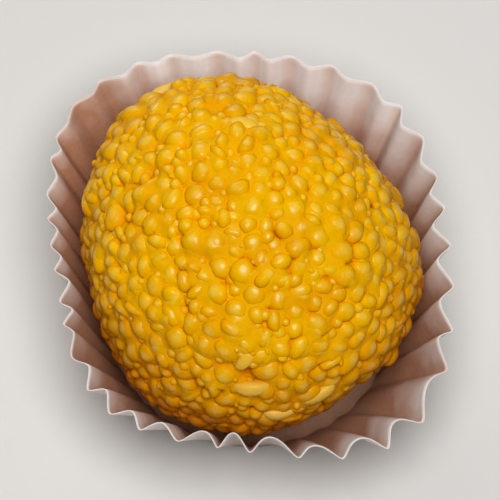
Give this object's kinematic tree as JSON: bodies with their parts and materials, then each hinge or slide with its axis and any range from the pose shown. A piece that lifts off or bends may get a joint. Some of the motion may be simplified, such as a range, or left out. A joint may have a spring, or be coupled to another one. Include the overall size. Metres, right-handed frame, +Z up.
{
  "type": "boondi ladoo",
  "caption": "Ball of small fried gram-flour pearls pressed together by hand, set in a fluted white paper case with a flared rim.",
  "frame": {"origin": "middle of the flat base that the paper case stands on", "axes": "+Z up, -Y towards the front, +X to the right; the case's rim is a little longer along Y than along X"},
  "size_m": [0.0489, 0.0539, 0.0382],
  "materials": {
    "boondi": "golden yellow, moist with syrup and softly glossy",
    "case_paper": "matt white greaseproof paper"
  },
  "bodies": {
    "root": {"ladoo": "boondi", "paper_case": "case_paper"}
  },
  "joints": []
}
